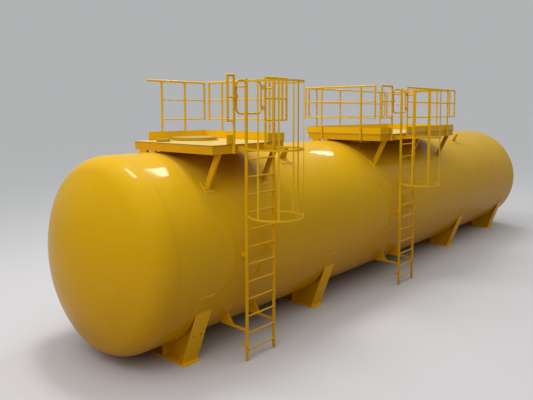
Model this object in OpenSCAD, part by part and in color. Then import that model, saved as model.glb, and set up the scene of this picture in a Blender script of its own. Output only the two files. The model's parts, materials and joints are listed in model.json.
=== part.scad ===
// Horizontal pressure tank on four saddles, with two caged ladders and two guarded decks.
// Millimetres. X runs along the tank, Z is up, and the ladders stand on the -Y side.
// The origin lies on the floor, below the middle of the tank, at the centre of its anchor holes.

/* [Vessel] */
// Outer radius of the shell
shell_r = 1600; // [1400:10:1800]
// Wall of the shell and of the heads
wall = 12; // [8:1:25]
// Length of the shell between the two heads
shell_len = 14740; // [14200:20:16000]
// Gap between the shell's lowest line and the floor
floor_gap = 105; // [90:5:200]
// Crown radius of the heads
crown_r = 2680; // [2400:20:3200]
// Knuckle radius of the heads
knuckle_r = 460; // [330:10:520]
// Straight flange of each head
flange_len = 50; // [30:5:100]

/* [Saddles] */
// Distance from the middle of the tank to the outer saddles
outer_saddle_x = 6740; // [6400:20:6900]
// Distance from the middle of the tank to the inner saddles
inner_saddle_x = 3357; // [2800:1:3900]
// Width of a saddle along the tank
saddle_w = 350; // [300:10:460]
// Length of a saddle's base plate across the tank
base_len = 2250; // [2100:10:2500]
// Thickness of the base plate
base_t = 20; // [12:1:30]
// Distance from the base plate's edges to the leaning end plates
foot_in = 60; // [30:5:90]
// Thickness of the leaning end plates
end_t = 16; // [10:1:25]
// Thickness of the upright web
web_t = 16; // [10:1:25]
// Thickness of the ribs
rib_t = 14; // [8:1:20]
// Distance from the tank's middle plane to the ribs
rib_y = 560; // [500:10:760]
// Angle of the saddle's horns, measured from straight below
horn_angle = 60; // [56:1:64]
// Thickness of the wear plate
wear_t = 10; // [6:1:16]
// Half of the angle that a wear plate covers
wear_angle = 71; // [66:1:76]
// Diameter of the anchor holes
anchor_d = 28; // [20:1:36]
// Anchor hole spacing along the tank
anchor_x = 240; // [180:10:260]
// Anchor hole spacing across the tank
anchor_y = 1840; // [1700:20:1960]

/* [Ladders] */
// Distance from the shell to the ladders' plane
ladder_gap = 115; // [95:5:160]
// Distance from the first deck's left end to the first ladder
ladder_1_in = 835; // [780:5:900]
// Distance from the second deck's left end to the second ladder
ladder_2_in = 847; // [780:1:960]
// Distance between the stiles' centres
stile_gap = 654; // [600:2:700]
// Depth of a stile, towards the tank
stile_d = 50; // [40:1:60]
// Width of a stile
stile_w = 20; // [15:1:30]
// Wall of a stile
stile_wall = 2.5; // [2:0.5:4]
// Height of the stiles' tops above the deck
stile_over = 1020; // [980:10:1080]
// Height of the first rung
rung_first = 169; // [140:1:280]
// Distance from rung to rung
rung_pitch = 280; // [250:5:284]
// Diameter of a rung
rung_d = 26; // [20:1:30]

/* [Cages] */
// Outer radius of the hoops
hoop_r = 437; // [400:1:450]
// Distance from the ladder's plane to the hoops' centre
hoop_out = 337; // [300:1:360]
// Height of the lowest hoop
hoop_low = 2347; // [2200:1:2500]
// Distance from the deck down to the middle hoop
hoop_under = 70; // [40:5:180]
// Height of the top hoop above the deck
hoop_over = 975; // [920:5:990]
// Height of a hoop's band
band_h = 30; // [20:1:50]
// Thickness of the bands and bars
band_t = 6; // [4:1:8]
// Width of a cage bar
bar_w = 30; // [20:1:40]

/* [Decks] */
// Height of the decks above the shell's crown
deck_rise = 175; // [165:5:215]
// Distance from the ladders' plane back to the decks' front edge
deck_to_ladder = 229; // [215:1:260]
// Distance from the tank's middle plane to the decks' back edge
deck_back = 540; // [500:5:560]
// Left end of the first deck
deck_1_left = -6610; // [-6700:10:-6580]
// Length of the first deck
deck_1_len = 1690; // [1620:10:1800]
// Left end of the second deck
deck_2_left = -1550; // [-1600:10:-1500]
// Length of the second deck
deck_2_len = 3970; // [3800:10:4200]
// Thickness of the deck plates
plate_t = 6; // [4:1:8]
// Height of the frame's channels
channel_h = 140; // [130:2:142]
// Flange width of the channels
channel_b = 60; // [50:1:65]
// Web and flange thickness of the channels
channel_t = 8; // [6:1:10]
// Overhang of the deck plate past the frame
lip = 12; // [6:1:16]
// Distance from the deck's back edge to the frame's back channel
back_in = 40; // [20:5:60]
// Height of the toe boards above the deck
toe_h = 150; // [120:5:160]
// Thickness of the toe boards
toe_t = 6; // [4:1:6]

/* [Guard rails] */
// Height of the top rail above the deck
rail_h = 1100; // [1080:10:1120]
// Height of the middle rail's centre above the deck
mid_h = 735; // [700:5:780]
// Height of the lower rail's centre above the deck
low_h = 370; // [350:5:400]
// Diameter of posts, top rails and end bars
tube_d = 42.4; // [38:0.1:46]
// Diameter of the middle and lower rails
mid_d = 26.9; // [20:0.1:30]

/* [Gates] */
// Distance from the ladder's middle to the latch post
latch_x = 400; // [390:5:420]
// Distance from the ladder's middle to the hinge post
hinge_x = 340; // [340:2:360]
// Distance between the hinge post and the hinge pins
pin_gap = 60; // [50:1:70]
// Diameter of the hinge pins
pin_d = 16; // [12:1:18]
// Diameter of a gate's tube
gate_d = 33.7; // [28:0.1:36]
// Bend radius of a gate's tube
gate_bend = 90; // [70:5:120]
// Height of a gate's lower tube above the deck
gate_low = 482; // [460:2:500]
// Height of a gate's upper tube above the deck
gate_high = 1010; // [980:5:1020]

/* [Nozzles] */
// Distance from the first deck's left end to its manhole
manhole_1_in = 950; // [910:5:980]
// Distance from the second deck's left end to its manhole
manhole_2_in = 970; // [930:5:1010]
// Outer diameter of a manhole's neck
manhole_d = 610; // [560:5:640]
// Diameter of the manhole's flange and cover
cover_d = 810; // [780:5:830]
// Thickness of a manhole's flange and of its cover
cover_t = 30; // [24:1:36]
// Height of the covers above the deck
cover_up = 54; // [40:1:70]
// Distance from the first deck's left end to the small nozzle
nozzle_in = 230; // [210:5:250]
// Outer diameter of the small nozzle's neck
nozzle_d = 114.3; // [88.9:0.1:121]
// Diameter of the small nozzle's flanges
nozzle_flange_d = 235; // [220:5:250]

/* [Lifting lugs] */
// Distance from the middle of the tank to the lugs
lug_x = 4140; // [4050:5:4250]
// Angle of the lugs, measured from the top of the tank
lug_angle = 30; // [24:1:34]
// Width of a lug at its foot
lug_w = 235; // [200:5:260]
// Height of a lug
lug_h = 230; // [200:5:250]
// Diameter of the hole in a lug
lug_hole_d = 55; // [40:1:70]

/* [Hidden] */

$fn = 96;
// Gap at curved seats
seat = 0.3;
// Small overlap of cuts, so that no cut ends on a face
cut = 1;

axis_h = shell_r + floor_gap;
course_count = 5;
course_len = shell_len / course_count;
wear_r = shell_r + seat + wear_t;
head_rise = crown_r - sqrt(pow(crown_r - knuckle_r, 2) - pow(shell_r - knuckle_r, 2));

pad_t = 10;
pad_r = shell_r + seat + pad_t;

ladder_y = shell_r + ladder_gap;
deck_z = axis_h + shell_r + deck_rise;
deck_front = ladder_y - deck_to_ladder;
frame_back = deck_back - back_in;
deck_1_right = deck_1_left + deck_1_len;
deck_2_right = deck_2_left + deck_2_len;
frame_top = deck_z - plate_t;
frame_low = frame_top - channel_h;

ladder_1_x = deck_1_left + ladder_1_in;
ladder_2_x = deck_2_left + ladder_2_in;
ladder_foot = 15;
ladder_top = deck_z + stile_over;
rung_count = floor((deck_z - rung_first - 100) / rung_pitch) + 1;
hoop_mid = deck_z - hoop_under;
hoop_top = deck_z + hoop_over;
manhole_1_x = deck_1_left + manhole_1_in;
manhole_2_x = deck_2_left + manhole_2_in;
nozzle_x = deck_1_left + nozzle_in;

post_out = lip + seat + tube_d / 2;
post_plane = deck_front + post_out;
top_rail_z = deck_z + rail_h - tube_d / 2;
stile_back = ladder_y - stile_d / 2;
hoop_y = ladder_y + hoop_out;

strut_angle = 47;
strut_top_y = deck_front - 60;
strut_w = 100;
strut_b = 45;

yellow = [0.93, 0.70, 0.05];
deep_yellow = [0.90, 0.64, 0.05];

// Local Z becomes the tank's axis, X
module along_tank(x = 0) {
    translate([x, 0, axis_h])
        rotate([0, 90, 0])
            children();
}

// A solid cylinder around the tank's axis, used to cut seats
module round_the_axis(r, x0, x1) {
    along_tank(x0)
        cylinder(r = r, h = x1 - x0, $fn = 240);
}

// A curved plate on the shell: angle is measured from straight up, positive towards -Y
module curved_plate(x0, x1, from, to, t) {
    along_tank(x0)
        rotate([0, 0, 180 + from])
            rotate_extrude(angle = to - from, $fn = 240)
                translate([shell_r + seat, 0])
                    square([t, x1 - x0]);
}

module shell_course(i) {
    x0 = -shell_len / 2 + i * course_len;
    color(yellow)
        difference() {
            along_tank(x0)
                difference() {
                    cylinder(r = shell_r, h = course_len, $fn = 240);
                    translate([0, 0, -cut])
                        cylinder(r = shell_r - wall, h = course_len + 2 * cut, $fn = 240);
                }
            neck_cuts(x0, x0 + course_len);
        }
}

// Holes for the necks that stand in this stretch of the shell
module neck_cuts(x0, x1) {
    for (n = [[manhole_1_x, manhole_d], [manhole_2_x, manhole_d], [nozzle_x, nozzle_d]])
        if (n[0] > x0 && n[0] < x1)
            translate([n[0], 0, axis_h])
                cylinder(d = n[1] + 2 * seat, h = shell_r + 100);
}

// Region under a torispherical curve: the knuckle circle and the crown's sector
module head_region(off) {
    lean = atan2(shell_r - knuckle_r, sqrt(pow(crown_r - knuckle_r, 2) - pow(shell_r - knuckle_r, 2)));
    reach = 2 * crown_r;
    intersection() {
        union() {
            translate([shell_r - knuckle_r, 0])
                circle(r = knuckle_r - off, $fn = 240);
            intersection() {
                translate([0, head_rise - crown_r])
                    circle(r = crown_r - off, $fn = 480);
                translate([0, head_rise - crown_r])
                    polygon([[0, 0], [reach * sin(lean), reach * cos(lean)], [0, reach]]);
            }
        }
        square([2 * shell_r, shell_r]);
    }
}

module head_shape() {
    rotate_extrude($fn = 240) {
        difference() {
            head_region(0);
            head_region(wall);
        }
        translate([shell_r - wall, -flange_len])
            square([wall, flange_len]);
    }
}

module near_head() {
    color(yellow)
        translate([-shell_len / 2 - flange_len, 0, axis_h])
            rotate([0, -90, 0])
                head_shape();
}

module far_head() {
    color(yellow)
        translate([shell_len / 2 + flange_len, 0, axis_h])
            rotate([0, 90, 0])
                head_shape();
}

// A wear plate, its four corners rounded; the arcs cross the edges at a slight angle
module wear_plate(x) {
    corner_r = 45;
    in = corner_r - 1;
    color(yellow)
        difference() {
            curved_plate(x - saddle_w / 2, x + saddle_w / 2, 180 - wear_angle, 180 + wear_angle, wear_t);
            for (side = [0, 1], end = [0, 1])
                translate([x, 0, axis_h])
                    mirror([0, side, 0])
                        mirror([end, 0, 0])
                            rotate([180 - wear_angle, 0, 0])
                                translate([saddle_w / 2 - in, -in, shell_r - 20])
                                    difference() {
                                        cube([in + cut, in + cut, 50]);
                                        translate([0, 0, -cut])
                                            cylinder(r = corner_r, h = 50 + 2 * cut);
                                    }
        }
}

// Outline of one half of the saddle, from the middle plane out, as [y, z] points.
// The end plate's top edge stands a little proud of the wear plate.
module saddle_half(inset) {
    proud = end_t - 2;
    horn_y = wear_r * sin(horn_angle) + proud;
    horn_z = axis_h - wear_r * cos(horn_angle);
    polygon([
        [0, base_t], [base_len / 2 - foot_in - inset, base_t],
        [horn_y - inset, horn_z], [0, horn_z]
    ]);
}

// An outline in the YZ plane, extruded along the tank about x
module across(x, w) {
    translate([x - w / 2, 0, 0])
        rotate([90, 0, 90])
            linear_extrude(w)
                children();
}

module saddle(x) {
    end_inset = end_t * 1.06;
    rib_w = saddle_w - 40;
    color(deep_yellow)
        difference() {
            union() {
                translate([x - saddle_w / 2, -base_len / 2, 0])
                    cube([saddle_w, base_len, base_t]);
                for (side = [0, 1])
                    mirror([0, side, 0]) {
                        across(x, web_t)
                            saddle_half(0);
                        across(x, rib_w)
                            difference() {
                                saddle_half(0);
                                saddle_half(end_inset);
                            }
                        translate([x - rib_w / 2, rib_y - rib_t / 2, 0])
                            cube([rib_w, rib_t, axis_h - wear_r * cos(horn_angle)]);
                    }
            }
            round_the_axis(wear_r + seat, x - saddle_w, x + saddle_w);
            for (sx = [-1, 1], sy = [-1, 1])
                translate([x + sx * anchor_x / 2, sy * anchor_y / 2, -cut])
                    cylinder(d = anchor_d, h = base_t + 2 * cut);
            // two small holes through each end plate
            for (side = [-1, 1], sx = [-1, 1])
                translate([x + sx * rib_w / 4, side * base_len / 2, axis_h - 0.75 * wear_r])
                    rotate([90, 0, 0])
                        cylinder(d = 36, h = 600, center = true);
        }
}

module pipe(d, t, z0, z1) {
    difference() {
        translate([0, 0, z0])
            cylinder(d = d, h = z1 - z0);
        translate([0, 0, z0 - cut])
            cylinder(d = d - 2 * t, h = z1 - z0 + 2 * cut);
    }
}

module manhole_neck(x) {
    flange_top = deck_z + cover_up - cover_t;
    color(yellow)
        translate([x, 0, 0]) {
            pipe(manhole_d, 12, axis_h + shell_r - 80, flange_top);
            pipe(cover_d, (cover_d - manhole_d) / 2 + 1, flange_top - cover_t, flange_top);
        }
}

module manhole_cover(x) {
    color(yellow)
        translate([x, 0, deck_z + cover_up - cover_t])
            cylinder(d = cover_d, h = cover_t);
}

module small_nozzle() {
    flange_t = 22;
    flange_top = deck_z + cover_up - 8 - flange_t;
    color(yellow)
        translate([nozzle_x, 0, 0]) {
            pipe(nozzle_d, 6, axis_h + shell_r - 30, flange_top);
            pipe(nozzle_flange_d, (nozzle_flange_d - nozzle_d) / 2 + 1, flange_top - flange_t, flange_top);
            translate([0, 0, flange_top])
                cylinder(d = nozzle_flange_d, h = flange_t);
        }
}

// One lug: a tapered plate along the tank on its pad
module lifting_lug(x, angle) {
    half = lug_w / 2;
    top = 55;
    color(deep_yellow) {
        curved_plate(x - half - 60, x + half + 60, angle - 6, angle + 6, pad_t);
        translate([x, 0, axis_h])
            rotate([angle, 0, 0])
                translate([0, 10, 0])
                    rotate([90, 0, 0])
                        difference() {
                            linear_extrude(20)
                                polygon([
                                    [-half, pad_r - 1], [half, pad_r - 1],
                                    [top, pad_r + lug_h], [-top, pad_r + lug_h]
                                ]);
                            translate([0, pad_r + lug_h - 75, -cut])
                                cylinder(d = lug_hole_d, h = 20 + 2 * cut);
                        }
    }
}

module lifting_lugs() {
    for (sx = [-1, 1], sy = [-1, 1])
        lifting_lug(sx * lug_x, sy * lug_angle);
}

module stile(x) {
    length = ladder_top - ladder_foot;
    translate([x - stile_w / 2, -ladder_y - stile_d / 2, ladder_foot])
        difference() {
            cube([stile_w, stile_d, length]);
            translate([stile_wall, stile_wall, 10])
                cube([stile_w - 2 * stile_wall, stile_d - 2 * stile_wall, length - 15]);
        }
}

module ladder(x) {
    color(deep_yellow) {
        for (side = [-1, 1])
            stile(x + side * stile_gap / 2);
        for (i = [0 : rung_count - 1])
            translate([x - stile_gap / 2, -ladder_y, rung_first + i * rung_pitch])
                rotate([0, 90, 0])
                    cylinder(d = rung_d, h = stile_gap);
        // small cleat behind the foot of the left stile
        translate([x - stile_gap / 2 - 3, -stile_back - 1, 230])
            cube([6, ladder_gap - stile_d / 2, 40]);
    }
}

// One hoop: an arc with straight ends that lie on the outer sides of the stiles
module hoop(z) {
    leg_x = stile_gap / 2 + stile_w / 2 + seat;
    turn = acos((leg_x + band_t / 2) / (hoop_r - band_t / 2));
    leg_y = (hoop_r - band_t / 2) * sin(turn);
    translate([0, 0, z - band_h / 2])
        linear_extrude(band_h) {
            difference() {
                circle(r = hoop_r, $fn = 180);
                circle(r = hoop_r - band_t, $fn = 180);
                translate([-hoop_r, leg_y])
                    square(2 * hoop_r);
            }
            for (side = [0, 1])
                mirror([side, 0])
                    translate([leg_x, leg_y - band_t / 2])
                        square([band_t, hoop_out + 15 + band_t / 2 - leg_y]);
        }
}

module cage(x) {
    inner = hoop_r - band_t;
    bar_over = 5;
    color(deep_yellow)
        translate([x, -hoop_y, 0]) {
            for (z = [hoop_low, hoop_mid, hoop_top])
                hoop(z);
            for (i = [0 : 4])
                rotate([0, 0, 180 + i * 45])
                    translate([inner - band_t + 1.5, -bar_w / 2, hoop_low - band_h / 2 - bar_over])
                        cube([band_t, bar_w, hoop_top - hoop_low + band_h + 2 * bar_over]);
        }
}

// Brackets between the shell, the deck and one ladder
module ladder_brackets(x) {
    bar_z = axis_h - 0.75 * shell_r;
    gusset_z = axis_h - 0.62 * shell_r;
    gusset_y = sqrt(pow(pad_r, 2) - pow(axis_h - gusset_z, 2));
    bar_h = 42;
    plate = 10;
    color(deep_yellow)
        for (side = [-1, 1])
            translate([x + side * stile_gap / 2, 0, 0]) {
                // gusset on the shell and bar to the stile
                difference() {
                    across(0, plate)
                        polygon([
                            [200 - gusset_y, bar_z - bar_h / 2], [-stile_back, bar_z - bar_h / 2],
                            [-stile_back, bar_z + bar_h / 2], [-gusset_y - 150, bar_z + bar_h / 2],
                            [-gusset_y, gusset_z], [200 - gusset_y, gusset_z]
                        ]);
                    round_the_axis(shell_r + seat + pad_t - 1, -50, 50);
                }
                curved_plate(-60, 60, 124, 142, pad_t);
                // clip at the widest part of the shell
                difference() {
                    translate([-plate / 2, -stile_back, axis_h - 10])
                        cube([plate, stile_back - shell_r + 70, 60]);
                    round_the_axis(shell_r + seat, -50, 50);
                }
                // plate from the deck's frame to the inner side of the stile
                mirror([side > 0 ? 1 : 0, 0, 0])
                    translate([stile_w / 2 + seat, -ladder_y - 15, frame_low + 30])
                        cube([plate, ladder_y + 15 - deck_front - seat, 80]);
            }
    color(deep_yellow) {
        top_tie(x - stile_gap / 2, x - latch_x);
        top_tie(x + stile_gap / 2, x + hinge_x);
    }
}

// Round tie between the head of a stile and a guard post
module top_tie(stile_x, post_x) {
    z = deck_z + 900;
    dx = post_x - stile_x;
    dy = stile_back - post_plane;
    difference() {
        translate([stile_x, -stile_back, z])
            rotate([-90, 0, -atan2(dx, dy)])
                cylinder(d = mid_d, h = sqrt(dx * dx + dy * dy));
        translate([post_x, -post_plane, z - 50])
            cylinder(d = tube_d + 2 * seat, h = 100);
        translate([stile_x - 50, -stile_back - 50, z - 50])
            cube([100, 50, 100]);
    }
}

// A channel along X from x0 to x1: its web's outer face lies at y = 0, its flanges point to +Y
module channel(x0, x1) {
    translate([x0, 0, frame_low])
        difference() {
            cube([x1 - x0, channel_b, channel_h]);
            translate([-cut, channel_t, channel_t])
                cube([x1 - x0 + 2 * cut, channel_b, channel_h - 2 * channel_t]);
        }
}

// A channel across the tank: its web's outer face lies at x, its flanges point to +X
module cross_channel(x, flip = 0) {
    length = deck_front + frame_back - channel_t;
    translate([x, -deck_front + channel_t / 2, frame_low])
        mirror([flip, 0, 0])
            difference() {
                cube([channel_b, length, channel_h]);
                translate([channel_t, -cut, channel_t])
                    cube([channel_b, length + 2 * cut, channel_h - 2 * channel_t]);
            }
}

module deck_frame(left, right, beams) {
    color(deep_yellow) {
        translate([0, -deck_front, 0])
            channel(left, right);
        translate([0, frame_back, 0])
            mirror([0, 1, 0])
                channel(left, right);
        cross_channel(left);
        cross_channel(right, 1);
        for (x = beams)
            cross_channel(x);
    }
}

module deck_plate(left, right, holes) {
    color([0.96, 0.83, 0.40])
        difference() {
            translate([left - lip, -deck_front - lip, frame_top])
                cube([right - left + 2 * lip, deck_front + deck_back + 2 * lip, plate_t]);
            for (h = holes)
                translate([h[0], 0, frame_top - cut])
                    cylinder(d = h[1], h = plate_t + 2 * cut);
        }
}

// One leaning channel strut with its pad; its web looks to +X or, with flip, to -X
module strut(x, flip) {
    foot_y = shell_r * sin(strut_angle);
    foot_z = axis_h + shell_r * cos(strut_angle);
    lean = atan2(strut_top_y - foot_y, frame_low - foot_z);
    difference() {
        translate([x, -foot_y, foot_z])
            rotate([lean, 0, 0])
                mirror([flip, 0, 0])
                    translate([-strut_b / 2, -strut_w / 2, -120])
                        difference() {
                            cube([strut_b, strut_w, 1000]);
                            translate([-cut, channel_t, -cut])
                                cube([strut_b - channel_t + cut, strut_w - 2 * channel_t, 1002]);
                        }
        round_the_axis(pad_r - 1, x - 200, x + 200);
        translate([x - 200, -deck_front - 500, frame_low])
            cube([400, deck_front, 1000]);
    }
    curved_plate(x - 90, x + 90, strut_angle - 4, strut_angle + 4, pad_t);
}

// Block between the shell and the frame's lower face
module stool(x, y, w, d) {
    difference() {
        translate([x - w / 2, y - d / 2, axis_h])
            cube([w, d, frame_low - axis_h]);
        round_the_axis(shell_r + seat, x - w, x + w);
    }
}

// Struts under the front edge, and blocks under each cross beam at the crown and behind it
module deck_supports(left, right, beams, struts) {
    half = channel_b / 2;
    color(deep_yellow) {
        for (i = [0 : len(struts) - 1])
            strut(struts[i], i == 0 ? 1 : 0);
        for (x = concat([left + half, right - half], [for (b = beams) b + half])) {
            stool(x, frame_back - 220, channel_b, 200);
            stool(x, 0, channel_b, 2 * channel_b);
        }
    }
}

// A toe board along X, standing on the deck plate, with its outer face at y = lip
module toe_board(x0, x1) {
    translate([x0, lip - toe_t, deck_z])
        cube([x1 - x0, toe_t, toe_h]);
}

// Places on the four sides of a deck: local X runs along the side, local Y points outwards
module on_front() {
    translate([0, -deck_front, 0])
        mirror([0, 1, 0])
            children();
}
module on_back() {
    translate([0, deck_back, 0])
        children();
}
module on_left(x) {
    translate([x, 0, 0])
        rotate([0, 0, 90])
            children();
}
module on_right(x) {
    translate([x, 0, 0])
        mirror([1, 0, 0])
            rotate([0, 0, 90])
                children();
}

module toe_boards_1() {
    color(deep_yellow) {
        on_back()
            toe_board(deck_1_left + 330, deck_1_right + lip);
        on_right(deck_1_right)
            toe_board(-deck_front - lip + toe_t, deck_back + lip - toe_t);
        on_front()
            toe_board(ladder_1_x - latch_x - 140, ladder_1_x - latch_x + 25);
        on_front()
            toe_board(ladder_1_x + hinge_x + 90, deck_1_right + lip);
    }
}

module toe_boards_2() {
    color(deep_yellow) {
        on_back()
            toe_board(deck_2_left - lip, deck_2_right + lip);
        on_right(deck_2_right)
            toe_board(-deck_front - lip + toe_t, deck_back + lip - toe_t);
        on_left(deck_2_left)
            toe_board(-deck_front - lip + toe_t, deck_back + lip - toe_t);
        on_front()
            toe_board(deck_2_left - lip, ladder_2_x - latch_x + 25);
        on_front()
            toe_board(ladder_2_x + hinge_x + 90, deck_2_right + lip);
    }
}

module tube_x(d, x0, x1, z) {
    translate([x0, 0, z])
        rotate([0, 90, 0])
            cylinder(d = d, h = x1 - x0);
}

// A post and the strap that holds it to the frame, whose face lies at y = -reach
module post(x, reach) {
    strap_h = channel_h - 14;
    strap_w = 42;
    translate([x, post_out, frame_low])
        cylinder(d = tube_d, h = top_rail_z - frame_low);
    translate([x - strap_w / 2, -reach, frame_low])
        cube([strap_w, post_out + reach, strap_h]);
}

// A guard panel along X: top rail from a to b, lower rails from c to b, upright bars at the ends
module guard(a, b, posts, bar_a = true, bar_b = true, c = undef, reach = 0) {
    start = is_undef(c) ? a : c;
    color(deep_yellow) {
        for (x = posts)
            post(x, reach);
        translate([0, post_out, 0]) {
            tube_x(tube_d, a, b, top_rail_z);
            tube_x(mid_d, start, b, deck_z + mid_h);
            tube_x(mid_d, start, b, deck_z + low_h);
            for (end = [[a, bar_a], [b, bar_b]])
                if (end[1]) {
                    translate([end[0], 0, deck_z + low_h])
                        cylinder(d = tube_d, h = top_rail_z - deck_z - low_h);
                    for (z = [deck_z + low_h, top_rail_z])
                        translate([end[0], 0, z])
                            sphere(d = tube_d);
                }
        }
    }
}

module guard_1_back() {
    on_back()
        guard(deck_1_left + 340, deck_1_right + 15, [deck_1_left + 655, deck_1_right - 485],
            bar_a = false, c = deck_1_left + 655, reach = back_in);
}

module guard_1_right() {
    on_right(deck_1_right)
        guard(-deck_front + 60, deck_back - 90, [-deck_front + 356, deck_back - 455]);
}

// Stop plate on the latch post, in front of the closed gate
module latch_stop(x) {
    z = deck_z + (gate_low + gate_high) / 2 - stop_h / 2;
    translate([x - latch_x, post_out + gate_d / 2 + stop_gap, z])
        cube([tube_d / 2 + 12 + gate_d, stop_t, stop_h]);
    translate([x - latch_x - stop_t / 2, post_out, z])
        cube([stop_t, gate_d / 2 + stop_gap + stop_t, stop_h]);
}

module guard_1_front_left() {
    on_front() {
        guard(ladder_1_x - latch_x - 140, ladder_1_x - latch_x, [ladder_1_x - latch_x], bar_b = false);
        color(deep_yellow)
            latch_stop(ladder_1_x);
    }
}

// Ears on a hinge post that carry the gate's pins
module hinge_ears(x) {
    for (z = hinge_heights())
        translate([x + hinge_x - pin_gap, post_out, z]) {
            for (s = [-1, 1])
                translate([0, 0, s * (sleeve_h / 2 + 0.4 + ear_t / 2)]) {
                    cylinder(d = 26, h = ear_t, center = true);
                    translate([0, -13, -ear_t / 2])
                        cube([pin_gap - tube_d / 2 + 4, 26, ear_t]);
                }
            cylinder(d = pin_d, h = sleeve_h + 2 * ear_t, center = true);
        }
}

module guard_1_front_right() {
    on_front() {
        guard(ladder_1_x + hinge_x, deck_1_right + 37, [ladder_1_x + hinge_x], bar_a = false);
        color(deep_yellow)
            hinge_ears(ladder_1_x);
    }
}

module guard_2_back() {
    first = deck_2_left + 438;
    step = (deck_2_right - 355 - first) / 3;
    on_back()
        guard(deck_2_left + 115, deck_2_right - 90, [for (i = [0 : 3]) first + i * step], reach = back_in);
}

module guard_2_left() {
    on_left(deck_2_left)
        guard(-deck_front + 125, deck_back + 30, [-deck_front + 493, deck_back - 455]);
}

module guard_2_right() {
    on_right(deck_2_right)
        guard(-deck_front + 125, deck_back + 30, [-deck_front + 493, deck_back - 455]);
}

module guard_2_front_left() {
    on_front() {
        guard(deck_2_left - 20, ladder_2_x - latch_x, [ladder_2_x - latch_x], bar_b = false);
        color(deep_yellow)
            latch_stop(ladder_2_x);
    }
}

module guard_2_front_right() {
    on_front() {
        guard(ladder_2_x + hinge_x, deck_2_right - 15,
            [ladder_2_x + hinge_x, deck_2_right - 1620, deck_2_right - 470], bar_a = false);
        color(deep_yellow)
            hinge_ears(ladder_2_x);
    }
}

sleeve_h = 40;
ear_t = 6;
stop_h = 60;
stop_t = 6;
stop_gap = 6;
// Radial clearance of the hinge pins
pin_clear = 0.08;
function hinge_heights() = [deck_z + gate_low + 95, deck_z + gate_high - 95];

// A tube loop that closes the opening at the head of a ladder
module gate(x) {
    z0 = deck_z + gate_low;
    z1 = deck_z + gate_high;
    x0 = -latch_x + tube_d / 2 + 12 + gate_d / 2;
    x1 = hinge_x - pin_gap - 50;
    color(deep_yellow)
        translate([x, -post_plane, 0]) {
            for (z = [z0, z1])
                tube_x(gate_d, x0 + gate_bend, x1 - gate_bend, z);
            for (px = [x0, x1])
                translate([px, 0, z0 + gate_bend])
                    cylinder(d = gate_d, h = z1 - z0 - 2 * gate_bend);
            for (c = [[x0, z0, 180], [x1, z0, 270], [x1, z1, 0], [x0, z1, 90]])
                translate([
                    c[0] + (c[0] == x0 ? gate_bend : -gate_bend), 0,
                    c[1] + (c[1] == z0 ? gate_bend : -gate_bend)
                ])
                    rotate([90, 0, 0])
                        rotate([0, 0, c[2]])
                            rotate_extrude(angle = 90)
                                translate([gate_bend, 0])
                                    circle(d = gate_d);
            for (z = hinge_heights())
                translate([hinge_x - pin_gap, 0, z])
                    difference() {
                        union() {
                            cylinder(d = 26, h = sleeve_h, center = true);
                            translate([-50, -6, -15])
                                cube([50, 12, 30]);
                        }
                        cylinder(d = pin_d + 2 * pin_clear, h = sleeve_h + 2 * cut, center = true);
                    }
        }
}

beams_1 = [manhole_1_x - 480, manhole_1_x + 460];
beams_2 = concat(
    [manhole_2_x - 480, manhole_2_x + 460],
    [for (i = [0 : 2]) deck_2_right - 2020 + i * 700]
);
struts_1 = [deck_1_left + 180, deck_1_right - 180];
struts_2 = [deck_2_left + 290, (deck_2_left + deck_2_right) / 2, deck_2_right - 250];
manhole_hole = cover_d + 50;

shell_course(0);  // shell_course_1
shell_course(1);  // shell_course_2
shell_course(2);  // shell_course_3
shell_course(3);  // shell_course_4
shell_course(4);  // shell_course_5
near_head();
far_head();
wear_plate(-outer_saddle_x);  // wear_plate_1
wear_plate(-inner_saddle_x);  // wear_plate_2
wear_plate(inner_saddle_x);  // wear_plate_3
wear_plate(outer_saddle_x);  // wear_plate_4
saddle(-outer_saddle_x);  // saddle_1
saddle(-inner_saddle_x);  // saddle_2
saddle(inner_saddle_x);  // saddle_3
saddle(outer_saddle_x);  // saddle_4
manhole_neck(manhole_1_x);  // manhole_neck_1
manhole_cover(manhole_1_x);  // manhole_cover_1
manhole_neck(manhole_2_x);  // manhole_neck_2
manhole_cover(manhole_2_x);  // manhole_cover_2
small_nozzle();
lifting_lugs();
ladder(ladder_1_x);  // ladder_1
ladder(ladder_2_x);  // ladder_2
ladder_brackets(ladder_1_x);  // ladder_brackets_1
ladder_brackets(ladder_2_x);  // ladder_brackets_2
cage(ladder_1_x);  // cage_1
cage(ladder_2_x);  // cage_2
deck_frame(deck_1_left, deck_1_right, beams_1);  // deck_frame_1
deck_frame(deck_2_left, deck_2_right, beams_2);  // deck_frame_2
deck_supports(deck_1_left, deck_1_right, beams_1, struts_1);  // deck_supports_1
deck_supports(deck_2_left, deck_2_right, beams_2, struts_2);  // deck_supports_2
deck_plate(deck_1_left, deck_1_right, [[manhole_1_x, manhole_hole], [nozzle_x, nozzle_flange_d + 30]]);  // deck_plate_1
deck_plate(deck_2_left, deck_2_right, [[manhole_2_x, manhole_hole]]);  // deck_plate_2
toe_boards_1();
toe_boards_2();
guard_1_back();
guard_1_right();
guard_1_front_left();
guard_1_front_right();
guard_2_back();
guard_2_left();
guard_2_right();
guard_2_front_left();
guard_2_front_right();
gate(ladder_1_x);  // gate_1
gate(ladder_2_x);  // gate_2
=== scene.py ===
# %% [markdown]
# # A yellow pressure tank with ladders and access decks
#
# This lesson dresses a finished CAD model of a long pressure tank. The steel pieces come from the
# CAD model, in metres, with their true sizes. Here they get paint, weld seams, bolts and light,
# and new pieces are modelled wherever the CAD model leaves small things out. Each step first says
# what the real piece is and why it is made in this way.

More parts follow.
